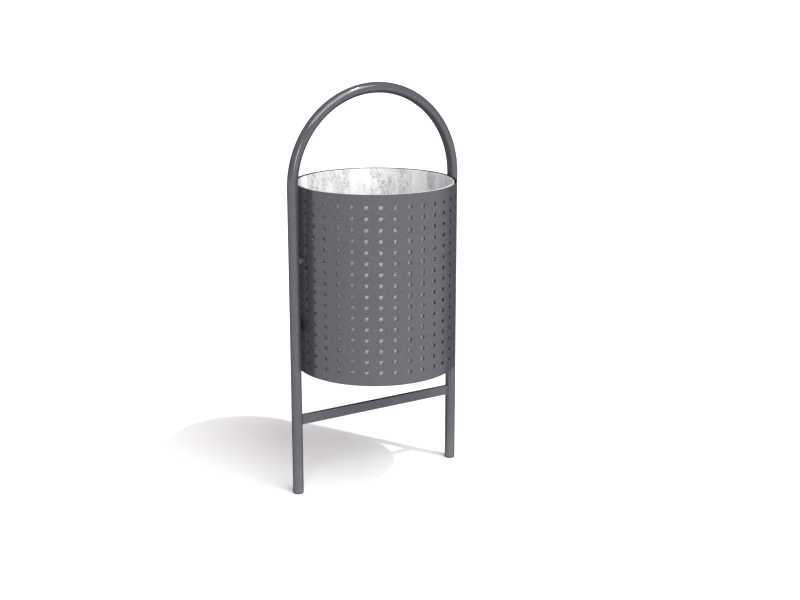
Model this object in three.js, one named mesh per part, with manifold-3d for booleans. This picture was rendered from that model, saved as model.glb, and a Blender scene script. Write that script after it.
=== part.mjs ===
// Street litter bin: a perforated steel bin that tips between the legs of a bent-tube hoop,
// with a galvanised liner inside it.
//
// Millimetres, +Z up. The origin is on the ground, midway between the two legs.
// The legs stand on the X axis and the bin tips forward, towards -Y.

import * as THREE from 'three';
import { mergeGeometries, mergeVertices } from 'three/addons/utils/BufferGeometryUtils.js';
import Module from 'manifold-3d';

// ---------------------------------------------------------------- driving dimensions

const GAP = 0.3; // between pieces that are welded, pressed or screwed together
const RUNNING_GAP = 0.1; // round a shaft that turns

const TUBE_R = 13.45; // 26.9 mm steel tube
const TUBE_WALL = 2.6;
const LEG_X = 230; // half the distance between the two leg centres
const ARCH_Z = 780; // centre of the half-round arch
const FOOT_PLATE = 2.5;

const BAR_HEIGHT = 25; // flat bar between the legs
const BAR_THICKNESS = 10;
const BAR_Z = 194;

const SHELL_R = 203.6;
const SHELL_SHEET = 2;
const SHELL_BOTTOM = 311.5;
const HOLE_COLUMNS = 36;
const HOLE_ROWS = 16;
const HOLE_PITCH = 27; // from row to row
const HOLE_MARGIN = 32; // from the first and last row to the edge of the sheet
const HOLE_SIZE = 9.4;
const FIRST_COLUMN = THREE.MathUtils.degToRad(3.3); // measured from -Y towards +X

const FLOOR_TOP = 334.7;
const FLOOR_SHEET = 2;
const FLOOR_FLANGE = 17;
const DRAIN_R = 7;

const LINER_R = 194.5;
const LINER_SHEET = 1.2;
const LINER_HEM = 12; // depth of the folded edge round the mouth
const LINER_RIM_DROP = 1; // from the top of the bin down to the mouth of the liner
const LINER_BASE_RECESS = 5;

const PIVOT_Z = 600; // midway between two rows of holes, above the centre of gravity
const PIN_R = 6;
const PIN_TAIL_R = 4;
const BUSH_R = 8;
const BUSH_FLANGE = 2;
const BUSH_FLANGE_R = 9;
const BUSH_END = LEG_X + 6; // how far in the bush reaches into the leg
const PIVOT_PLATE = 2.5;
const PIVOT_PLATE_SETBACK = 1.1; // a flat plate inside the curve of the sheet

const STOP_Z = 430;
const STOP_LUG_FACE = TUBE_R + 16; // the lug's front face, behind the leg
const STOP_END = LEG_X - 6; // the lug ends behind the leg
const LOCK_X = 209.5;
const LOCK_Z = 694.5; // midway between two rows of holes
const SPINDLE_R = 3;
const SCREW_R = 1.7;
const CAM_FRONT = 14.3; // the cam turns just behind the leg
const CAM_SHEET = 3;
const CAM_REACH = 22;
const BRACKET_FRONT = CAM_FRONT + CAM_SHEET + 0.8;
const BRACKET_SHEET = 3;

const HANDLE_Z = 690;
const HANDLE_STANDOFF = 7; // from the liner wall to the handle's axis
const HANDLE_HALF_WIDTH = 35;
const HANDLE_DROP = 50;
const WIRE_R = 3;
const STRAP_WIDTH = 32;
const STRAP_SHEET = 2;
const STRAP_HALF_HEIGHT = 20;
const STRAP_CLEARANCE = 0.4; // round the wire, so that the handle swings freely
const RIVET_R = 2.4;
const RIVET_OFFSET = 13; // from the handle's axis to each rivet

// ---------------------------------------------------------------- worked out from them

const SHELL_TOP = SHELL_BOTTOM + (HOLE_ROWS - 1) * HOLE_PITCH + 2 * HOLE_MARGIN;
const FACET = (2 * Math.PI) / HOLE_COLUMNS; // one flat of the sheet for each column of holes
const FLAT_TO_CORNER = 1 / Math.cos(FACET / 2);
const SHELL_START = FIRST_COLUMN + FACET / 2;
const SHELL_INNER_FLAT = SHELL_R / FLAT_TO_CORNER - SHELL_SHEET;
const LEG_FACE = LEG_X - TUBE_R; // the side of each leg that faces the bin
const LINER_BOTTOM = FLOOR_TOP + GAP;
const LINER_INNER_FLAT = LINER_R / FLAT_TO_CORNER - LINER_SHEET;
const WALL_FACE = LINER_INNER_FLAT - GAP; // where the handle straps lie against the liner
const PIVOT_PLATE_FACE = SHELL_INNER_FLAT - PIVOT_PLATE_SETBACK;

const ROUND = 20; // sides of the tube and of the larger turned parts
const SMALL_ROUND = 12; // sides of rivets, screws and small holes
const SIDES = [['left', -1], ['right', 1]];

// ---------------------------------------------------------------- joining and cutting

const wasm = await Module();
wasm.setup();

function toSolid(geometry) {
  const bare = geometry.index ? geometry.clone() : mergeVertices(geometry);
  bare.deleteAttribute('normal');
  bare.deleteAttribute('uv');
  const merged = mergeVertices(bare, 1e-4);
  return new wasm.Manifold(new wasm.Mesh({
    numProp: 3,
    vertProperties: new Float32Array(merged.attributes.position.array),
    triVerts: new Uint32Array(merged.index.array),
  }));
}

function toGeometry(solid) {
  const mesh = solid.getMesh();
  const geometry = new THREE.BufferGeometry();
  geometry.setAttribute('position', new THREE.BufferAttribute(new Float32Array(mesh.vertProperties), 3));
  geometry.setIndex(new THREE.BufferAttribute(new Uint32Array(mesh.triVerts), 1));
  return geometry;
}

function cut(geometry, ...tools) {
  return toGeometry(tools.reduce((solid, tool) => solid.subtract(toSolid(tool)), toSolid(geometry)));
}

function join(geometry, ...others) {
  return toGeometry(others.reduce((solid, other) => solid.add(toSolid(other)), toSolid(geometry)));
}

// ---------------------------------------------------------------- basic shapes

// A box between two corners.
function block([x0, y0, z0], [x1, y1, z1]) {
  return new THREE.BoxGeometry(Math.abs(x1 - x0), Math.abs(y1 - y0), Math.abs(z1 - z0))
    .translate((x0 + x1) / 2, (y0 + y1) / 2, (z0 + z1) / 2);
}

// A solid turned about the Z axis from an outline of [radius, height] points,
// listed up the outer side and down the inner one.
function turned(outline, sides = ROUND, start = 0) {
  const points = outline.map(([radius, height]) => new THREE.Vector2(radius, height));
  return new THREE.LatheGeometry(points, sides, start).rotateX(Math.PI / 2);
}

function rod(radius, low, high, sides = ROUND, start = 0) {
  return turned([[0, low], [radius, low], [radius, high], [0, high]], sides, start);
}

// Turns a part made about Z so that it lies along X, with its top towards the leg on that side.
function outward(geometry, side) {
  return geometry.rotateY((side * Math.PI) / 2);
}

// Turns a part made about Z so that it lies along Y, with its top towards +Y.
function backward(geometry) {
  return geometry.rotateX(-Math.PI / 2);
}

// The corner radius at which a round hole's flats stand clear of a shaft.
function boreFor(radius, clearance, sides = ROUND) {
  return (radius + clearance) / Math.cos(Math.PI / sides);
}

function circle(radius, sides) {
  const points = [];
  for (let i = 0; i < sides; i += 1) {
    const angle = (2 * Math.PI * i) / sides;
    points.push(new THREE.Vector2(radius * Math.cos(angle), radius * Math.sin(angle)));
  }
  return points;
}

// Points on an arc in a vertical plane parallel to XZ, both ends included.
function arcPoints(x, y, z, radius, from, to, steps) {
  const points = [];
  for (let i = 0; i <= steps; i += 1) {
    const angle = from + ((to - from) * i) / steps;
    points.push(new THREE.Vector3(x + radius * Math.cos(angle), y, z + radius * Math.sin(angle)));
  }
  return points;
}

// A bent line that puts one cross-section at each of its stations, however far apart they are.
class StationLine extends THREE.Curve {
  constructor(stations) {
    super();
    this.stations = stations;
  }

  getPoint(t, target = new THREE.Vector3()) {
    const place = t * (this.stations.length - 1);
    const before = Math.min(Math.floor(place), this.stations.length - 2);
    return target.lerpVectors(this.stations[before], this.stations[before + 1], place - before);
  }

  getUtoTmapping(u) {
    return u;
  }
}

function bentAlong(stations, outline, hole) {
  const shape = new THREE.Shape(outline);
  if (hole) {
    shape.holes.push(new THREE.Path(hole));
  }
  return new THREE.ExtrudeGeometry(shape, {
    steps: stations.length - 1,
    extrudePath: new StationLine(stations),
  });
}

// ---------------------------------------------------------------- the frame

// One tube, bent into a hoop: left leg, half-round arch and right leg. Each leg is bored on its
// inner side for a pivot bush.
function hoopFrame() {
  const archSteps = 28;
  const foot = FOOT_PLATE + GAP;
  const stations = [
    new THREE.Vector3(-LEG_X, 0, foot),
    ...arcPoints(0, 0, ARCH_Z, LEG_X, Math.PI, 0, archSteps),
    new THREE.Vector3(LEG_X, 0, foot),
  ];
  const tube = bentAlong(stations, circle(TUBE_R, ROUND), circle(TUBE_R - TUBE_WALL, SMALL_ROUND));
  const bores = SIDES.map(([, side]) => outward(
    rod(boreFor(BUSH_R, GAP), LEG_FACE - TUBE_WALL, LEG_X),
    side,
  ).translate(0, 0, PIVOT_Z));
  return cut(tube, ...bores);
}

// Flat bar on edge between the legs, its ends hollowed to fit the tubes.
function crossBar() {
  const bar = block(
    [-LEG_X, -BAR_THICKNESS / 2, BAR_Z - BAR_HEIGHT / 2],
    [LEG_X, BAR_THICKNESS / 2, BAR_Z + BAR_HEIGHT / 2],
  );
  const legs = SIDES.map(([, side]) => rod(boreFor(TUBE_R, GAP), 0, ARCH_Z).translate(side * LEG_X, 0, 0));
  return cut(bar, ...legs);
}

// Disc that closes the end of a leg, with a spigot inside the tube.
function footPlug(side) {
  const spigotR = TUBE_R - TUBE_WALL - 3 * GAP;
  const spigotTop = 18;
  return turned([
    [0, 0],
    [TUBE_R, 0],
    [TUBE_R, FOOT_PLATE],
    [spigotR, FOOT_PLATE],
    [spigotR, spigotTop],
    [0, spigotTop],
  ]).translate(side * LEG_X, 0, 0);
}

// ---------------------------------------------------------------- the pivots

// Flanged plastic bush in the inner side of a leg.
function pivotBush(side) {
  const bore = boreFor(PIN_R, RUNNING_GAP);
  const flangeTop = LEG_FACE - GAP / 2;
  return outward(turned([
    [bore, flangeTop - BUSH_FLANGE],
    [BUSH_FLANGE_R, flangeTop - BUSH_FLANGE],
    [BUSH_FLANGE_R, flangeTop],
    [BUSH_R, flangeTop],
    [BUSH_R, BUSH_END],
    [bore, BUSH_END],
    [bore, flangeTop - BUSH_FLANGE],
  ]), side).translate(0, 0, PIVOT_Z);
}

// Stub pin: a journal in the leg's bush, a broad shoulder that spaces the bin off the leg, and a
// tail riveted through the sheet and its backing plate.
function pivotPin(side) {
  const shoulderR = 7.5;
  const shoulderStart = SHELL_R + GAP;
  const shoulderEnd = LEG_FACE - BUSH_FLANGE - 1.5 * GAP;
  const tailEnd = PIVOT_PLATE_FACE - PIVOT_PLATE;
  return outward(turned([
    [0, tailEnd],
    [PIN_TAIL_R, tailEnd],
    [PIN_TAIL_R, shoulderStart],
    [shoulderR, shoulderStart],
    [shoulderR, shoulderEnd],
    [PIN_R, shoulderEnd],
    [PIN_R, BUSH_END - 1],
    [0, BUSH_END - 1],
  ]), side).translate(0, 0, PIVOT_Z);
}

function pinTailHole(side) {
  const radius = boreFor(PIN_TAIL_R, GAP, SMALL_ROUND);
  return outward(rod(radius, LINER_R, LEG_FACE, SMALL_ROUND), side).translate(0, 0, PIVOT_Z);
}

// Backing plate that spreads the pin's load inside the sheet.
function pivotPlate(side) {
  const halfWidth = 15;
  const halfHeight = 22;
  const plate = block(
    [side * (PIVOT_PLATE_FACE - PIVOT_PLATE), -halfWidth, PIVOT_Z - halfHeight],
    [side * PIVOT_PLATE_FACE, halfWidth, PIVOT_Z + halfHeight],
  );
  return cut(plate, pinTailHole(side));
}

// ---------------------------------------------------------------- the bin

// Rolled sheet with square holes, and a plain band at the top and at the bottom.
function perforatedShell() {
  const inner = SHELL_INNER_FLAT * FLAT_TO_CORNER;
  const sheet = turned([
    [inner, SHELL_BOTTOM],
    [SHELL_R, SHELL_BOTTOM],
    [SHELL_R, SHELL_TOP],
    [inner, SHELL_TOP],
    [inner, SHELL_BOTTOM],
  ], HOLE_COLUMNS, SHELL_START);
  return cut(sheet, squareHoles(), ...SIDES.map(([, side]) => pinTailHole(side)));
}

// Every square hole as a small block that passes through the sheet.
function squareHoles() {
  const blocks = [];
  const depth = 5 * SHELL_SHEET;
  for (let column = 0; column < HOLE_COLUMNS; column += 1) {
    for (let row = 0; row < HOLE_ROWS; row += 1) {
      blocks.push(new THREE.BoxGeometry(HOLE_SIZE, depth, HOLE_SIZE)
        .translate(0, -SHELL_INNER_FLAT, SHELL_BOTTOM + HOLE_MARGIN + row * HOLE_PITCH)
        .rotateZ(FIRST_COLUMN + column * FACET));
    }
  }
  return mergeGeometries(blocks);
}

// The space inside the sheet's outer faces, with the gap that a weld leaves round it.
function shellSpace() {
  return rod(SHELL_R + GAP, SHELL_BOTTOM, SHELL_TOP, HOLE_COLUMNS, SHELL_START);
}

// Drain holes: one in the middle and four round it.
function drains(radius, ring, low, high) {
  const holes = [rod(radius, low, high, SMALL_ROUND)];
  for (let i = 0; i < 4; i += 1) {
    const hole = rod(radius, low, high, SMALL_ROUND).translate(ring, 0, 0);
    holes.push(hole.rotateZ((Math.PI / 4) * (2 * i + 1)));
  }
  return holes;
}

// Floor of the bin, with a flange turned down inside the plain bottom band.
function floorPlate() {
  const outer = (SHELL_INNER_FLAT - GAP) * FLAT_TO_CORNER;
  const inner = outer - FLOOR_SHEET;
  const under = FLOOR_TOP - FLOOR_SHEET;
  const plate = turned([
    [0, under],
    [inner, under],
    [inner, FLOOR_TOP - FLOOR_FLANGE],
    [outer, FLOOR_TOP - FLOOR_FLANGE],
    [outer, FLOOR_TOP],
    [0, FLOOR_TOP],
  ], HOLE_COLUMNS, SHELL_START);
  return cut(plate, ...drains(DRAIN_R, SHELL_R / 2, SHELL_BOTTOM, LINER_BOTTOM));
}

// Lug welded edge-on to the sheet behind a leg. It stops the bin when it hangs upright.
function stopLug(side) {
  const sheet = 3;
  const halfHeight = 15;
  const lug = block(
    [side * LINER_R, STOP_LUG_FACE, STOP_Z - halfHeight],
    [side * STOP_END, STOP_LUG_FACE + sheet, STOP_Z + halfHeight],
  );
  return cut(lug, shellSpace());
}

// Rubber block on the lug, hollowed to fit round the back of the leg.
function stopBuffer(side) {
  const width = 16;
  const halfHeight = 12;
  const lip = 1.5; // how far its edge stands forward of the leg's back
  const rubber = block(
    [side * (STOP_END - width), TUBE_R - lip, STOP_Z - halfHeight],
    [side * STOP_END, STOP_LUG_FACE - GAP, STOP_Z + halfHeight],
  );
  return cut(rubber, rod(boreFor(TUBE_R, GAP), 0, ARCH_Z).translate(side * LEG_X, 0, 0));
}

// ---------------------------------------------------------------- the lock, behind the right leg

// Plate welded edge-on to the sheet, bored for the lock's spindle.
function lockBracket() {
  const halfHeight = 12;
  const end = LEG_FACE - 1.2; // passes beside the leg as the bin tips
  const plate = block(
    [LINER_R, BRACKET_FRONT, LOCK_Z - halfHeight],
    [end, BRACKET_FRONT + BRACKET_SHEET, LOCK_Z + halfHeight],
  );
  const bore = backward(rod(boreFor(SPINDLE_R, RUNNING_GAP), 0, LEG_X)).translate(LOCK_X, 0, LOCK_Z);
  return cut(plate, shellSpace(), bore);
}

// Spindle with a three-sided head for the emptying key.
function lockSpindle() {
  const front = CAM_FRONT + CAM_SHEET + GAP;
  const threadDepth = 5;
  const threadR = SCREW_R + GAP;
  const collar = BRACKET_FRONT + BRACKET_SHEET + GAP;
  const collarR = 5.5;
  const collarTop = collar + 2;
  const headR = 5.2; // to its three corners
  const headLength = 9;
  const overlap = 0.5; // of the head into the collar
  const shaft = turned([
    [0, front + threadDepth],
    [threadR, front + threadDepth],
    [threadR, front],
    [SPINDLE_R, front],
    [SPINDLE_R, collar],
    [collarR, collar],
    [collarR, collarTop],
    [0, collarTop],
  ]);
  const head = rod(headR, collarTop - overlap, collarTop + headLength, 3);
  return backward(join(shaft, head)).translate(LOCK_X, 0, LOCK_Z);
}

// Flat cam on the spindle. It hangs down when unlocked and turns behind the leg to lock.
function lockCam() {
  const halfWidth = 4;
  const outline = new THREE.Shape();
  outline.absarc(0, 0, halfWidth, 0, Math.PI);
  outline.lineTo(-halfWidth, -CAM_REACH);
  outline.lineTo(halfWidth, -CAM_REACH);
  outline.closePath();
  outline.holes.push(new THREE.Path(circle(SCREW_R + GAP, SMALL_ROUND)));
  return new THREE.ExtrudeGeometry(outline, { depth: CAM_SHEET, bevelEnabled: false, curveSegments: 6 })
    .rotateX(Math.PI / 2)
    .translate(LOCK_X, CAM_FRONT + CAM_SHEET, LOCK_Z);
}

// Screw that holds the cam on the end of the spindle.
function lockScrew() {
  const headR = 3.5;
  const headFront = CAM_FRONT - GAP - 2;
  const headBack = CAM_FRONT - GAP;
  const tip = CAM_FRONT + CAM_SHEET + GAP + 4;
  return backward(turned([
    [0, headFront],
    [headR, headFront],
    [headR, headBack],
    [SCREW_R, headBack],
    [SCREW_R, tip],
    [0, tip],
  ], SMALL_ROUND)).translate(LOCK_X, 0, LOCK_Z);
}

// ---------------------------------------------------------------- the liner

// Galvanised sheet drum whose edge is folded outward round its mouth.
function linerWall() {
  const inner = LINER_INNER_FLAT * FLAT_TO_CORNER;
  const hemOuter = LINER_R + LINER_SHEET;
  const rim = SHELL_TOP - LINER_RIM_DROP;
  const wall = turned([
    [inner, LINER_BOTTOM],
    [LINER_R, LINER_BOTTOM],
    [LINER_R, rim - LINER_HEM],
    [hemOuter, rim - LINER_HEM],
    [hemOuter, rim],
    [inner, rim],
    [inner, LINER_BOTTOM],
  ], HOLE_COLUMNS, FACET / 2);
  return cut(wall, ...HANDLE_PLACES.flatMap(([, turn]) => rivetHoles(turn)));
}

// Base pressed into the drum a little above its lower edge.
function linerBase() {
  const outer = (LINER_INNER_FLAT - GAP) * FLAT_TO_CORNER;
  const inner = outer - LINER_SHEET;
  const top = LINER_BOTTOM + LINER_BASE_RECESS + LINER_SHEET;
  const pan = turned([
    [0, top - LINER_SHEET],
    [inner, top - LINER_SHEET],
    [inner, LINER_BOTTOM],
    [outer, LINER_BOTTOM],
    [outer, top],
    [0, top],
  ], HOLE_COLUMNS, FACET / 2);
  return cut(pan, ...drains(DRAIN_R / 2, LINER_R / 2, LINER_BOTTOM, top + 1));
}

// Each handle and its fittings are made at the front of the liner and turned to their place.
const HANDLE_PLACES = [['front', 0], ['back', Math.PI]];
const RIVET_PLACES = [['upper', RIVET_OFFSET], ['lower', -RIVET_OFFSET]];

// Puts a part that is drawn on the wall's inner face, with +Y into the liner, where it belongs.
function onWall(geometry, turn) {
  return geometry.translate(0, -WALL_FACE, HANDLE_Z).rotateZ(turn);
}

function rivetHoles(turn) {
  const reach = 2 * STRAP_SHEET; // clear through the strap on one side and the wall on the other
  const radius = boreFor(RIVET_R, GAP, SMALL_ROUND);
  return RIVET_PLACES.map(([, height]) => onWall(
    backward(rod(radius, -reach, reach, SMALL_ROUND)).translate(0, 0, height),
    turn,
  ));
}

// Strap folded over the handle's upper bar and riveted above and below it.
function handleStrap(turn) {
  const inner = WIRE_R + STRAP_CLEARANCE;
  const outer = inner + STRAP_SHEET;
  const outline = new THREE.Shape();
  outline.moveTo(0, -STRAP_HALF_HEIGHT);
  outline.lineTo(STRAP_SHEET, -STRAP_HALF_HEIGHT);
  outline.lineTo(STRAP_SHEET, -outer);
  outline.absarc(HANDLE_STANDOFF, 0, outer, -Math.PI / 2, Math.PI / 2);
  outline.lineTo(STRAP_SHEET, outer);
  outline.lineTo(STRAP_SHEET, STRAP_HALF_HEIGHT);
  outline.lineTo(0, STRAP_HALF_HEIGHT);
  outline.lineTo(0, inner);
  outline.absarc(HANDLE_STANDOFF, 0, inner, Math.PI / 2, -Math.PI / 2, true);
  outline.lineTo(0, -inner);
  outline.closePath();
  const strap = new THREE.ExtrudeGeometry(outline, {
    depth: STRAP_WIDTH,
    bevelEnabled: false,
    curveSegments: 6,
  });
  const across = new THREE.Vector3(1, 0, 0);
  const inward = new THREE.Vector3(0, 1, 0);
  const up = new THREE.Vector3(0, 0, 1);
  strap.translate(0, 0, -STRAP_WIDTH / 2);
  strap.applyMatrix4(new THREE.Matrix4().makeBasis(inward, up, across));
  return cut(onWall(strap, turn), ...rivetHoles(turn));
}

// Rivet through the strap and the liner wall, with a head on both sides.
function strapRivet(turn, height) {
  const tailHead = -GAP - LINER_SHEET - GAP; // the flat head outside the liner
  const flatHeadR = 4;
  const flatHead = 1.6;
  const bevel = 0.4;
  const domeStart = STRAP_SHEET + GAP; // the domed head inside it
  const domeR = 4.2;
  const dome = 1.9;
  return onWall(backward(turned([
    [0, tailHead - flatHead],
    [flatHeadR - bevel, tailHead - flatHead],
    [flatHeadR, tailHead - flatHead + bevel],
    [flatHeadR, tailHead],
    [RIVET_R, tailHead],
    [RIVET_R, domeStart],
    [domeR, domeStart],
    [0.9 * domeR, domeStart + dome / 2],
    [0.55 * domeR, domeStart + 0.85 * dome],
    [0, domeStart + dome],
  ], SMALL_ROUND)).translate(0, 0, height), turn);
}

// Wire bent into a rectangle with round corners. Its ends meet inside the strap, and it hangs
// from its upper bar.
function dropHandle(turn) {
  const corner = 12;
  const cornerSteps = 5;
  const jointGap = 0.5;
  const straight = HANDLE_HALF_WIDTH - corner;
  const top = -corner;
  const bottom = corner - HANDLE_DROP;
  const stations = [
    new THREE.Vector3(jointGap / 2, 0, 0),
    ...arcPoints(straight, 0, top, corner, Math.PI / 2, 0, cornerSteps),
    ...arcPoints(straight, 0, bottom, corner, 0, -Math.PI / 2, cornerSteps),
    ...arcPoints(-straight, 0, bottom, corner, -Math.PI / 2, -Math.PI, cornerSteps),
    ...arcPoints(-straight, 0, top, corner, Math.PI, Math.PI / 2, cornerSteps),
    new THREE.Vector3(-jointGap / 2, 0, 0),
  ];
  return onWall(bentAlong(stations, circle(WIRE_R, 8)).translate(0, HANDLE_STANDOFF, 0), turn);
}

// ---------------------------------------------------------------- the assembly

function paint() {
  return new THREE.MeshStandardMaterial({ color: 0x6c6b72, roughness: 0.45, metalness: 0.1 });
}

function zinc() {
  return new THREE.MeshStandardMaterial({ color: 0xc9cbce, roughness: 0.35, metalness: 0.9 });
}

function steel() {
  return new THREE.MeshStandardMaterial({ color: 0xb4b6ba, roughness: 0.3, metalness: 1 });
}

function rubber() {
  return new THREE.MeshStandardMaterial({ color: 0x1b1b1c, roughness: 0.8, metalness: 0 });
}

function blackPlastic() {
  return new THREE.MeshStandardMaterial({ color: 0x232426, roughness: 0.55, metalness: 0 });
}

function greyPlastic() {
  return new THREE.MeshStandardMaterial({ color: 0x66666a, roughness: 0.5, metalness: 0 });
}

const litterBin = new THREE.Group();

function add(name, geometry, material) {
  const mesh = new THREE.Mesh(geometry, material);
  mesh.name = name;
  litterBin.add(mesh);
}

add('hoop_frame', hoopFrame(), paint());
add('cross_bar', crossBar(), paint());
add('perforated_shell', perforatedShell(), paint());
add('floor_plate', floorPlate(), paint());

for (const [word, side] of SIDES) {
  add(`foot_plug_${word}`, footPlug(side), blackPlastic());
  add(`pivot_bush_${word}`, pivotBush(side), greyPlastic());
  add(`pivot_pin_${word}`, pivotPin(side), paint());
  add(`pivot_plate_${word}`, pivotPlate(side), paint());
  add(`stop_lug_${word}`, stopLug(side), paint());
  add(`stop_buffer_${word}`, stopBuffer(side), rubber());
}

add('lock_bracket', lockBracket(), paint());
add('lock_spindle', lockSpindle(), steel());
add('lock_cam', lockCam(), steel());
add('lock_screw', lockScrew(), steel());

add('liner_wall', linerWall(), zinc());
add('liner_base', linerBase(), zinc());

for (const [word, turn] of HANDLE_PLACES) {
  add(`handle_strap_${word}`, handleStrap(turn), zinc());
  add(`liner_handle_${word}`, dropHandle(turn), zinc());
  for (const [place, height] of RIVET_PLACES) {
    add(`strap_rivet_${word}_${place}`, strapRivet(turn, height), steel());
  }
}

export default litterBin;
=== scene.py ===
"""The looks of a street litter bin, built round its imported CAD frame.

Blender 4.5, metres, +Z up. The legs stand on the X axis and the front of the bin faces -Y.
"""

import math
import random

import bmesh
import bpy
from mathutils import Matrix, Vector


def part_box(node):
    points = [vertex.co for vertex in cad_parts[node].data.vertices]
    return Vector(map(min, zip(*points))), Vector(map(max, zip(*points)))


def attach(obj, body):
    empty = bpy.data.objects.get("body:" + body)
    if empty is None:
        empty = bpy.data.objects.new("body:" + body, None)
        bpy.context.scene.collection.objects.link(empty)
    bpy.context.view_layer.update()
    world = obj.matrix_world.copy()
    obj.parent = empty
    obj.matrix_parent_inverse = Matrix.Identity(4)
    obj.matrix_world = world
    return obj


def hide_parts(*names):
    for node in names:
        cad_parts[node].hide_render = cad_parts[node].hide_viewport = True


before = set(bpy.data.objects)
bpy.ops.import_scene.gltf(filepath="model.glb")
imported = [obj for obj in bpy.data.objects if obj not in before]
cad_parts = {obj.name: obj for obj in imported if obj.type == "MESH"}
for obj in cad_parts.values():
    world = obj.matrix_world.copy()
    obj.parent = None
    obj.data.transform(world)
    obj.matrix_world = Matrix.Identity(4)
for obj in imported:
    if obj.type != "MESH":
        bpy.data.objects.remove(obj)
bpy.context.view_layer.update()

# ---------------------------------------------------------------- sizes, read from the frame

hoop_low, hoop_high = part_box("hoop_frame")
TUBE_R = hoop_high.y
LEG_X = hoop_high.x - TUBE_R
ARCH_Z = hoop_high.z - TUBE_R - LEG_X

bar_low, bar_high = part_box("cross_bar")
BAR_BEVEL = 0.0009
WELD_BEAD_R = 0.0017
PLUG_GAP = 0.0003  # from the end of the tube to the foot plug's flange
PLUG_SPIGOT_R = TUBE_R - 0.0035
PLUG_EASE = 0.0005

shell_low, shell_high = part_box("perforated_shell")
SHELL_R = shell_high.y
SHELL_SHEET = 0.002
HOLE_COLUMNS = 36
HOLE_ROWS = 16
HOLE_SIZE = 0.0094
HOLE_PITCH = 0.027
HOLE_STEPS = 2  # steps of the sheet's curve across a hole
GAP_STEPS = 4  # steps of the curve between two columns of holes
SHELL_EASE = 0.0004  # slope of the sheet's top and bottom edges
FACET = 2 * math.pi / HOLE_COLUMNS  # the angle from one column of holes to the next

liner_low, liner_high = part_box("liner_wall")
LINER_SHEET = 0.0012
LINER_HEM = 0.012

HANDLE_CORNER = 0.012
HANDLE_END_GAP = 0.00025  # from the middle of the handle's top bar to each end of its wire

DRUM_SIDES = 144
TUBE_SIDES = 48
WIRE_SIDES = 24
ARCH_STEPS = 120
CORNER_STEPS = 12
BEAD_SIDES = 10
SHARP = math.radians(35)  # edges that turn further than this stay sharp
FINE_BEVEL = 0.0002  # on the smallest pieces

draw = random.Random(7)


def widest(node):
    """The largest distance of a CAD node's corners from the bin's upright axis."""
    return max(v.co.xy.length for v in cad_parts[node].data.vertices)


def first_column(node):
    """Where the first column of holes is, as an angle from -Y towards +X."""
    corner = max(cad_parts[node].data.vertices, key=lambda v: v.co.xy.length).co
    return (math.atan2(corner.x, -corner.y) - FACET / 2) % FACET


# ---------------------------------------------------------------- mesh building


def piece(name, points, faces):
    """A new smooth-shaded object whose sharp edges stay sharp."""
    mesh = bpy.data.meshes.new(name)
    mesh.from_pydata([tuple(p) for p in points], [], faces)
    mesh.validate()
    draft = bmesh.new()
    draft.from_mesh(mesh)
    bmesh.ops.recalc_face_normals(draft, faces=draft.faces)
    draft.to_mesh(mesh)
    draft.free()
    mesh.shade_smooth()
    mesh.set_sharp_from_angle(angle=SHARP)
    obj = bpy.data.objects.new(name, mesh)
    bpy.context.scene.collection.objects.link(obj)
    return obj


def ring_faces(rings, closed):
    """Quads, or triangles at a pole, between each ring of vertex numbers and the next."""
    faces = []
    pairs = list(zip(rings, rings[1:] + rings[:1]))
    for one, two in pairs if closed else pairs[:-1]:
        sides = max(len(one), len(two))
        for i in range(sides):
            j = (i + 1) % sides
            corners = [one[i % len(one)], one[j % len(one)], two[j % len(two)], two[i % len(two)]]
            unique = list(dict.fromkeys(corners))
            if len(unique) > 2:
                faces.append(unique)
    return faces


def turned(name, outline, sides, x=0):
    """A solid turned about the upright line at x, from a closed outline of (radius, height)."""
    points = []
    rings = []
    for radius, height in outline:
        steps = sides if radius > 0 else 1
        rings.append(list(range(len(points), len(points) + steps)))
        for i in range(steps):
            angle = 2 * math.pi * i / steps
            points.append((x + radius * math.cos(angle), radius * math.sin(angle), height))
    return piece(name, points, ring_faces(rings, closed=True))


def swept(name, path, outline_at, across, closed=False):
    """A solid that follows a path, with flat ends unless it is closed.

    outline_at(i) lists the (across, out) offsets of its cross-section at the path's point i.
    """
    points = []
    rings = []
    last = len(path) - 1
    for i, centre in enumerate(path):
        before = path[i - 1] if i or closed else path[0]
        after = path[(i + 1) % len(path)] if i < last or closed else path[last]
        forward = (after - before).normalized()
        side = (across - forward * across.dot(forward)).normalized()
        out = forward.cross(side)
        ring = outline_at(i)
        rings.append(list(range(len(points), len(points) + len(ring))))
        points.extend(centre + side * a + out * b for a, b in ring)
    faces = ring_faces(rings, closed)
    if not closed:
        faces += [rings[0][::-1], rings[-1]]
    return piece(name, points, faces)


def circle(radius, sides):
    """Points round the origin, as (x, y)."""
    steps = [2 * math.pi * i / sides for i in range(sides)]
    return [(radius * math.cos(a), radius * math.sin(a)) for a in steps]


def arc(x, z, radius, start, end, steps):
    """Points on an arc in the XZ plane, both ends included."""
    angles = [start + (end - start) * i / steps for i in range(steps + 1)]
    return [Vector((x + radius * math.cos(a), 0, z + radius * math.sin(a))) for a in angles]


def ease_edges(obj, width):
    """Rounds an object's sharp edges with a modifier."""
    bevel = obj.modifiers.new("edges", "BEVEL")
    bevel.width = width
    bevel.segments = 2
    bevel.limit_method = "ANGLE"
    bevel.angle_limit = math.radians(40)


def paint(obj, slot):
    """Gives an object the material of one of the record's slots, and no other."""
    obj.data.materials.clear()
    obj.data.materials.append(LOOKS[slot])


def dress(obj, body, slot, *nodes):
    """Gives a piece its material, the body it rides on and the CAD nodes it stands for."""
    paint(obj, slot)
    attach(obj, body)
    if nodes:
        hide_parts(*nodes)


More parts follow.
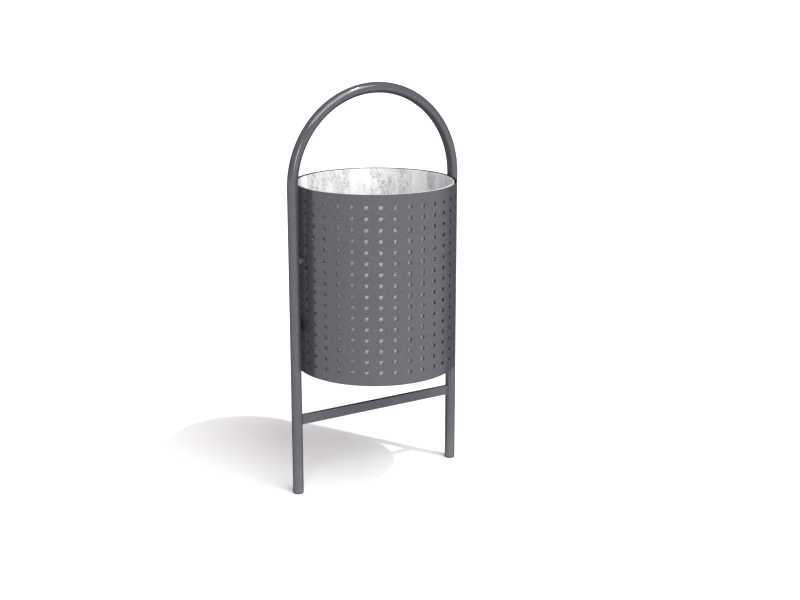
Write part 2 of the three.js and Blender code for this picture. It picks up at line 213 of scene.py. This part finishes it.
def carry_over(node, slot, bevel=0.0004):
    """Keeps a CAD node, with its edges eased and a material of its own."""
    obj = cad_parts[node]
    paint(obj, slot)
    weld = obj.modifiers.new("merge", "WELD")
    weld.merge_threshold = 1e-6
    ease_edges(obj, bevel)


# ---------------------------------------------------------------- materials


# Where a mix node keeps its factor, its two colours and the mixed colour.
MIX_FACTOR = 0
MIX_FIRST = 6
MIX_SECOND = 7
MIX_RESULT = 2


def add_node(tree, kind, inputs, **settings):
    """Adds a shader node. A socket given as an input is linked, and anything else is set."""
    made = tree.nodes.new(kind)
    for key, value in settings.items():
        setattr(made, key, value)
    for key, value in inputs.items():
        if isinstance(value, bpy.types.NodeSocket):
            tree.links.new(value, made.inputs[key])
        else:
            made.inputs[key].default_value = value
    return made


def coordinates(tree):
    """The object's own coordinates, in metres."""
    return add_node(tree, "ShaderNodeTexCoord", {}).outputs["Object"]


def stretched_coordinates(tree, stretch):
    """Coordinates that make a pattern longer along an axis whose stretch is under 1."""
    inputs = {"Vector": coordinates(tree), "Scale": stretch}
    return add_node(tree, "ShaderNodeMapping", inputs).outputs["Vector"]


def noise(tree, scale, detail=3, stretch=(1, 1, 1)):
    """A soft random pattern, mostly between 0.3 and 0.7."""
    inputs = {"Vector": stretched_coordinates(tree, stretch), "Scale": scale, "Detail": detail}
    return add_node(tree, "ShaderNodeTexNoise", inputs).outputs["Fac"]


def cells(tree, scale, stretch):
    """Crystals side by side, each with a value of its own from 0 to 1."""
    inputs = {"Vector": stretched_coordinates(tree, stretch), "Scale": scale}
    colour = add_node(tree, "ShaderNodeTexVoronoi", inputs).outputs["Color"]
    return add_node(tree, "ShaderNodeSeparateColor", {"Color": colour}).outputs["Red"]


def spread(tree, value, low, high, from_low=0.3, from_high=0.7):
    """Maps from_low...from_high of a pattern to low...high, and keeps it inside that."""
    inputs = {"Value": value, "From Min": from_low, "From Max": from_high, "To Min": low, "To Max": high}
    return add_node(tree, "ShaderNodeMapRange", inputs).outputs["Result"]


def times(tree, one, two):
    return add_node(tree, "ShaderNodeMath", {0: one, 1: two}, operation="MULTIPLY").outputs["Value"]


def blend(tree, factor, one, two):
    """A colour between one and two."""
    inputs = {MIX_FACTOR: factor, MIX_FIRST: one, MIX_SECOND: two}
    return add_node(tree, "ShaderNodeMix", inputs, data_type="RGBA").outputs[MIX_RESULT]


def bump(tree, height, strength, distance):
    inputs = {"Height": height, "Strength": strength, "Distance": distance}
    return add_node(tree, "ShaderNodeBump", inputs).outputs["Normal"]


def worn_edges(tree, radius, scale):
    """A pattern that is high along edges, broken up by noise."""
    rounded = add_node(tree, "ShaderNodeBevel", {"Radius": radius}, samples=4).outputs["Normal"]
    plain = add_node(tree, "ShaderNodeNewGeometry", {}).outputs["Normal"]
    turn = add_node(tree, "ShaderNodeVectorMath", {0: rounded, 1: plain}, operation="DOT_PRODUCT")
    edge = spread(tree, turn.outputs["Value"], 1, 0, from_low=0.8, from_high=0.98)
    patches = spread(tree, noise(tree, scale, detail=4), 0, 1, from_low=0.45, from_high=0.6)
    return times(tree, edge, patches)


def near_ground(tree, height):
    """A pattern that fades out from the ground up to a height."""
    z = add_node(tree, "ShaderNodeSeparateXYZ", {"Vector": coordinates(tree)}).outputs["Z"]
    fading = spread(tree, z, 1, 0, from_low=0, from_high=height)
    return times(tree, fading, noise(tree, scale=55, detail=5))


def principled(name, metallic=0.0, specular=0.5, edge_tint=1.0):
    """A new material, its node tree and its shader."""
    material = bpy.data.materials.new(name)
    material.use_nodes = True
    shader = material.node_tree.nodes["Principled BSDF"]
    shader.inputs["Metallic"].default_value = metallic
    shader.inputs["Specular IOR Level"].default_value = specular
    shader.inputs["Specular Tint"].default_value = (edge_tint, edge_tint, edge_tint, 1)
    return material, material.node_tree, shader


def feed(tree, shader, base_color, roughness=None, normal=None):
    """Links patterns to a shader."""
    sockets = {"Base Color": base_color, "Roughness": roughness, "Normal": normal}
    for key, socket in sockets.items():
        if socket is not None:
            tree.links.new(socket, shader.inputs[key])


def powder_coat():
    """Grey metallic powder coat: fine flakes, a soft gloss, paler worn edges, dust near the ground."""
    dark = (0.057, 0.056, 0.064, 1)
    light = (0.066, 0.065, 0.075, 1)
    flake = (0.122, 0.121, 0.132, 1)
    dust = (0.24, 0.235, 0.23, 1)
    worn = (0.27, 0.27, 0.29, 1)
    material, tree, shader = principled("powder_coat", metallic=0.5, specular=0.0, edge_tint=0.0)
    grain = noise(tree, scale=650)
    tone = blend(tree, noise(tree, scale=12, detail=4), dark, light)
    flaked = blend(tree, spread(tree, grain, 0, 1, from_low=0.35, from_high=0.75), tone, flake)
    dusty = blend(tree, times(tree, near_ground(tree, height=0.14), 0.3), flaked, dust)
    edges = times(tree, worn_edges(tree, radius=0.0008, scale=160), 0.35)
    feed(
        tree,
        shader,
        base_color=blend(tree, edges, dusty, worn),
        roughness=spread(tree, noise(tree, scale=40, detail=5), 0.12, 0.19),
        normal=bump(tree, grain, strength=0.2, distance=0.0001),
    )
    return material


def galvanised():
    """Bright galvanised sheet: upright bands of fine crystal spangle, each of them patchy."""
    bright = (0.65, 0.65, 0.655, 1)
    grey = (0.25, 0.25, 0.26, 1)
    material, tree, shader = principled("galvanised_sheet", metallic=0.12)
    crystals = cells(tree, scale=420, stretch=(1, 1, 0.6))
    flecks = spread(tree, crystals, 0, 1, from_low=0.45, from_high=0.8)
    strips = cells(tree, scale=31, stretch=(1, 1, 0.015))
    bands = spread(tree, strips, 0, 1, from_low=0.4, from_high=0.8)
    clouds = noise(tree, scale=60, stretch=(1, 1, 0.4))
    patches = spread(tree, clouds, 0.35, 1, from_low=0.4, from_high=0.6)
    faint = spread(tree, flecks, 0.4, 1, from_low=0, from_high=1)
    dull = times(tree, times(tree, bands, patches), faint)
    feed(
        tree,
        shader,
        base_color=blend(tree, dull, bright, grey),
        roughness=spread(tree, dull, 0.3, 0.5, from_low=0, from_high=1),
        normal=bump(tree, dull, strength=0.15, distance=0.0002),
    )
    return material


def plated():
    """Zinc plating with fine scratches and slightly brighter edges."""
    dark = (0.36, 0.37, 0.39, 1)
    light = (0.52, 0.53, 0.55, 1)
    rubbed = (0.68, 0.68, 0.69, 1)
    material, tree, shader = principled("zinc_plate", metallic=1.0)
    tone = blend(tree, noise(tree, scale=90, detail=5), dark, light)
    edges = times(tree, worn_edges(tree, radius=0.0005, scale=400), 0.5)
    scratches = noise(tree, scale=700, stretch=(1, 1, 0.1))
    feed(
        tree,
        shader,
        base_color=blend(tree, edges, tone, rubbed),
        roughness=spread(tree, noise(tree, scale=160, detail=4), 0.26, 0.4),
        normal=bump(tree, scratches, strength=0.12, distance=0.0001),
    )
    return material


def moulded(name, dark, light, smoothest, roughest, grain_scale=1500):
    """Plastic or rubber with a fine moulded grain."""
    material, tree, shader = principled(name)
    grain = noise(tree, grain_scale)
    feed(
        tree,
        shader,
        base_color=blend(tree, noise(tree, scale=60, detail=4), dark, light),
        roughness=spread(tree, grain, smoothest, roughest),
        normal=bump(tree, grain, strength=0.3, distance=0.0002),
    )
    return material


def black_plastic():
    dark = (0.016, 0.016, 0.018, 1)
    light = (0.026, 0.026, 0.028, 1)
    return moulded("black_plastic", dark, light, smoothest=0.42, roughest=0.56)


def grey_plastic():
    dark = (0.05, 0.05, 0.055, 1)
    light = (0.07, 0.07, 0.076, 1)
    return moulded("grey_plastic", dark, light, smoothest=0.4, roughest=0.52)


def rubber():
    dark = (0.012, 0.012, 0.012, 1)
    light = (0.022, 0.021, 0.02, 1)
    return moulded("rubber", dark, light, smoothest=0.68, roughest=0.86, grain_scale=900)


LOOKS = {
    "painted_steel": powder_coat(),
    "galvanised_sheet": galvanised(),
    "plated_steel": plated(),
    "black_plastic": black_plastic(),
    "grey_plastic": grey_plastic(),
    "rubber": rubber(),
}

# ---------------------------------------------------------------- the frame


def tube_face(y):
    """How far from the middle of the hoop the inner side of a leg is, at a depth y."""
    return LEG_X - math.sqrt(TUBE_R**2 - y**2)


def hoop_tube():
    """Bent tube: up one leg, over the arch and down the other leg."""
    path = [Vector((-LEG_X, 0, hoop_low.z))]
    path += arc(0, ARCH_Z, LEG_X, math.pi, 0, ARCH_STEPS)
    path.append(Vector((LEG_X, 0, hoop_low.z)))
    ring = circle(TUBE_R, TUBE_SIDES)
    tube = swept("hoop_tube", path, lambda i: ring, Vector((0, 1, 0)))
    dress(tube, "frame", "painted_steel", "hoop_frame")


def cross_bar():
    """Flat bar whose ends run up to the round tubes, with eased edges."""
    half = bar_high.y
    steps = 8
    depths = [-half + 2 * half * i / steps for i in range(steps + 1)]
    outline = [(tube_face(y), y) for y in depths]
    outline += [(-x, y) for x, y in reversed(outline)]
    count = len(outline)
    points = [Vector((x, y, z)) for z in (bar_low.z, bar_high.z) for x, y in outline]
    faces = [list(range(count))[::-1], list(range(count, 2 * count))]
    faces += [[i, (i + 1) % count, (i + 1) % count + count, i + count] for i in range(count)]
    bar = piece("cross_bar_flat", points, faces)
    ease_edges(bar, BAR_BEVEL)
    dress(bar, "frame", "painted_steel", "cross_bar")


def bar_weld(word, side):
    """Weld bead round one end of the cross bar, where it meets the tube."""
    half = bar_high.y
    middle = (bar_low.z + bar_high.z) / 2
    tall = (bar_high.z - bar_low.z) / 2
    path = []
    steps = 120
    for i in range(steps):
        # An ellipse larger than the bar's end, cut off at its edges, has round corners.
        angle = 2 * math.pi * i / steps
        y = half * max(-1, min(1, 1.35 * math.cos(angle)))
        z = middle + tall * max(-1, min(1, 1.12 * math.sin(angle)))
        path.append(Vector((side * tube_face(y), y, z)))
    path = [p for i, p in enumerate(path) if (p - path[i - 1]).length > 1e-5]
    rings = []
    for i in range(len(path)):
        ripple = 0.12 * math.sin(2.1 * i) + draw.uniform(-0.06, 0.06)
        rings.append(circle(WELD_BEAD_R * (1 + ripple), BEAD_SIDES))
    across = Vector((1, 0, 0))
    bead = swept(f"cross_bar_weld_{word}", path, lambda i: rings[i], across, closed=True)
    dress(bead, "frame", "painted_steel")


def foot_plug(word, side):
    """Closing disc of a leg, with a spigot up into the tube."""
    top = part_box(f"foot_plug_{word}")[1].z
    flange = hoop_low.z - PLUG_GAP
    outline = [
        (0, 0),
        (TUBE_R - PLUG_EASE, 0),
        (TUBE_R, PLUG_EASE),
        (TUBE_R, flange),
        (PLUG_SPIGOT_R, flange),
        (PLUG_SPIGOT_R, top),
        (0, top),
    ]
    plug = turned(f"foot_plug_{word}_fine", outline, TUBE_SIDES, x=side * LEG_X)
    dress(plug, "frame", "black_plastic", f"foot_plug_{word}")


# ---------------------------------------------------------------- the bin


def column_angles():
    """Angles round the shell: the two sides of each hole, then steps on to the next column."""
    half_hole = HOLE_SIZE / 2 / SHELL_R
    gap = FACET - 2 * half_hole
    start = first_column("perforated_shell")
    angles = []
    for column in range(HOLE_COLUMNS):
        middle = start + column * FACET
        angles += [middle - half_hole, middle]
        angles += [middle + half_hole + gap * i / GAP_STEPS for i in range(GAP_STEPS)]
    return angles


def row_heights():
    """Heights up the shell: its eased bottom edge, each hole's bottom and top, its eased top edge."""
    margin = (shell_high.z - shell_low.z - (HOLE_ROWS - 1) * HOLE_PITCH) / 2
    heights = [shell_low.z, shell_low.z + SHELL_EASE]
    for row in range(HOLE_ROWS):
        middle = shell_low.z + margin + row * HOLE_PITCH
        heights += [middle - HOLE_SIZE / 2, middle + HOLE_SIZE / 2]
    heights += [shell_high.z - SHELL_EASE, shell_high.z]
    return heights


def is_hole(level, step):
    """Whether the cell above a level and after a step of the shell is open."""
    in_row = level % 2 == 0 and 2 <= level <= 2 * HOLE_ROWS
    return in_row and step % (HOLE_STEPS + GAP_STEPS) < HOLE_STEPS


def perforated_sheet():
    """Rolled sheet with square holes in it, eased along its top and bottom edges."""
    angles = column_angles()
    heights = row_heights()
    around = len(angles)
    levels = len(heights)
    layers = ((SHELL_R, -SHELL_EASE), (SHELL_R - SHELL_SHEET, SHELL_EASE))
    points = []
    for radius, inset in layers:
        for level, z in enumerate(heights):
            r = radius + (inset if level in (0, levels - 1) else 0)
            points += [Vector((r * math.sin(a), -r * math.cos(a), z)) for a in angles]

    def corner(layer, level, step):
        return (layer * levels + level) * around + step % around

    def wall(one, two):
        """Joins the two layers along the edge between two corners, each a (level, step)."""
        return [corner(0, *one), corner(0, *two), corner(1, *two), corner(1, *one)]

    faces = []
    for level in range(levels - 1):
        for step in range(around):
            if is_hole(level, step):
                continue
            cell = [(level, step), (level, step + 1), (level + 1, step + 1), (level + 1, step)]
            faces.append([corner(0, *place) for place in cell])
            faces.append([corner(1, *place) for place in reversed(cell)])
            low_left, low_right, high_right, high_left = cell
            if is_hole(level - 1, step):
                faces.append(wall(low_left, low_right))
            if is_hole(level + 1, step):
                faces.append(wall(high_left, high_right))
            if is_hole(level, step - 1):
                faces.append(wall(low_left, high_left))
            if is_hole(level, step + 1):
                faces.append(wall(low_right, high_right))
    for level in (0, levels - 1):
        faces += [wall((level, step), (level, step + 1)) for step in range(around)]
    sheet = piece("perforated_sheet", points, faces)
    dress(sheet, "bin", "painted_steel", "perforated_shell")


def liner_drum():
    """Drum whose upper edge is folded outward into a rounded hem."""
    outer = widest("liner_wall")
    wall = outer - LINER_SHEET
    inner = wall - LINER_SHEET
    hem = liner_high.z - LINER_HEM
    outline = [(inner, liner_low.z), (wall, liner_low.z), (wall, hem), (outer, hem + LINER_SHEET / 2)]
    steps = 6
    for i in range(steps + 1):
        angle = math.pi * i / steps
        height = liner_high.z - LINER_SHEET + LINER_SHEET * math.sin(angle)
        outline.append((wall + LINER_SHEET * math.cos(angle), height))
    drum = turned("liner_drum", outline, DRUM_SIDES)
    dress(drum, "liner", "galvanised_sheet", "liner_wall")


# ---------------------------------------------------------------- the handles


def drop_handle(word):
    """Wire bent into a rectangle with round corners."""
    low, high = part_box(f"liner_handle_{word}")
    wire = (high.y - low.y) / 2
    inset = wire + HANDLE_CORNER
    half = high.x - inset
    top = high.z - inset
    bottom = low.z + inset
    path = [Vector((HANDLE_END_GAP, 0, high.z - wire))]
    for turns, (x, z) in enumerate(((half, top), (half, bottom), (-half, bottom), (-half, top))):
        start = math.pi / 2 * (1 - turns)
        path += arc(x, z, HANDLE_CORNER, start, start - math.pi / 2, CORNER_STEPS)
    path.append(Vector((-HANDLE_END_GAP, 0, high.z - wire)))
    depth = Vector((0, (low.y + high.y) / 2, 0))
    ring = circle(wire, WIRE_SIDES)
    across = Vector((0, 1, 0))
    handle = swept(f"drop_handle_{word}", [p + depth for p in path], lambda i: ring, across)
    dress(handle, f"{word}_handle", "plated_steel", f"liner_handle_{word}")


# ---------------------------------------------------------------- the assembly

hoop_tube()
cross_bar()
perforated_sheet()
liner_drum()

for word, side in (("left", -1), ("right", 1)):
    bar_weld(word, side)
    foot_plug(word, side)
    carry_over(f"pivot_bush_{word}", "grey_plastic")
    carry_over(f"pivot_pin_{word}", "painted_steel")
    carry_over(f"pivot_plate_{word}", "painted_steel")
    carry_over(f"stop_lug_{word}", "painted_steel")
    carry_over(f"stop_buffer_{word}", "rubber")

carry_over("floor_plate", "painted_steel")
carry_over("liner_base", "galvanised_sheet")
carry_over("lock_bracket", "painted_steel")
for part in ("spindle", "cam", "screw"):
    carry_over(f"lock_{part}", "plated_steel", FINE_BEVEL)
for word in ("front", "back"):
    drop_handle(word)
    carry_over(f"handle_strap_{word}", "galvanised_sheet", FINE_BEVEL)
    for place in ("upper", "lower"):
        carry_over(f"strap_rivet_{word}_{place}", "plated_steel", FINE_BEVEL)

# ---------------------------------------------------------------- floor, light and camera


def floor():
    size = 60
    corners = [(-size, -size, 0), (size, -size, 0), (size, size, 0), (-size, size, 0)]
    obj = piece("floor", corners, [[0, 1, 2, 3]])
    material, tree, shader = principled("studio_floor", specular=0.1)
    shader.inputs["Roughness"].default_value = 0.9
    tone = blend(tree, noise(tree, scale=2), (0.8, 0.79, 0.8, 1), (0.81, 0.8, 0.81, 1))
    feed(tree, shader, base_color=tone)
    obj.data.materials.append(material)


def sky(colour, strength):
    world = bpy.data.worlds.new("studio")
    world.use_nodes = True
    background = world.node_tree.nodes["Background"]
    background.inputs["Color"].default_value = (*colour, 1)
    background.inputs["Strength"].default_value = strength
    bpy.context.scene.world = world


def far_lamp(name, strength, towards, degrees):
    """A lamp far away that shines along a direction. The more degrees wide, the softer its shadow."""
    data = bpy.data.lights.new(name, "SUN")
    data.energy = strength
    data.angle = math.radians(degrees)
    obj = bpy.data.objects.new(name, data)
    obj.rotation_euler = Vector(towards).to_track_quat("-Z", "Y").to_euler()
    bpy.context.scene.collection.objects.link(obj)


def camera():
    """The photograph's viewpoint: above and to the left of the front, at its angle and framing."""
    data = bpy.data.cameras.new("camera")
    data.lens = 56.82
    data.shift_y = -0.04
    obj = bpy.data.objects.new("camera", data)
    obj.location = (-1.5692, -2.6717, 1.3070)
    turn = math.radians(31.56)  # from +Y towards +X
    pitch = math.radians(-13.62)
    level = math.cos(pitch)
    ahead = Vector((math.sin(turn) * level, math.cos(turn) * level, math.sin(pitch)))
    obj.rotation_euler = ahead.to_track_quat("-Z", "Y").to_euler()
    bpy.context.scene.collection.objects.link(obj)
    bpy.context.scene.camera = obj


floor()
sky((1.0, 0.965, 0.985), 0.61)
far_lamp("key", 2.0, towards=(-0.272, 0.52, -1), degrees=1.2)
far_lamp("softbox", 3.4, towards=(-0.13, 1, -1), degrees=48)
far_lamp("fill", 0.7, towards=(0.42, 0.89, -0.17), degrees=16)
far_lamp("rim", 0.5, towards=(0.43, 0.57, -0.7), degrees=14)
camera()
bpy.context.scene.view_settings.view_transform = "Standard"
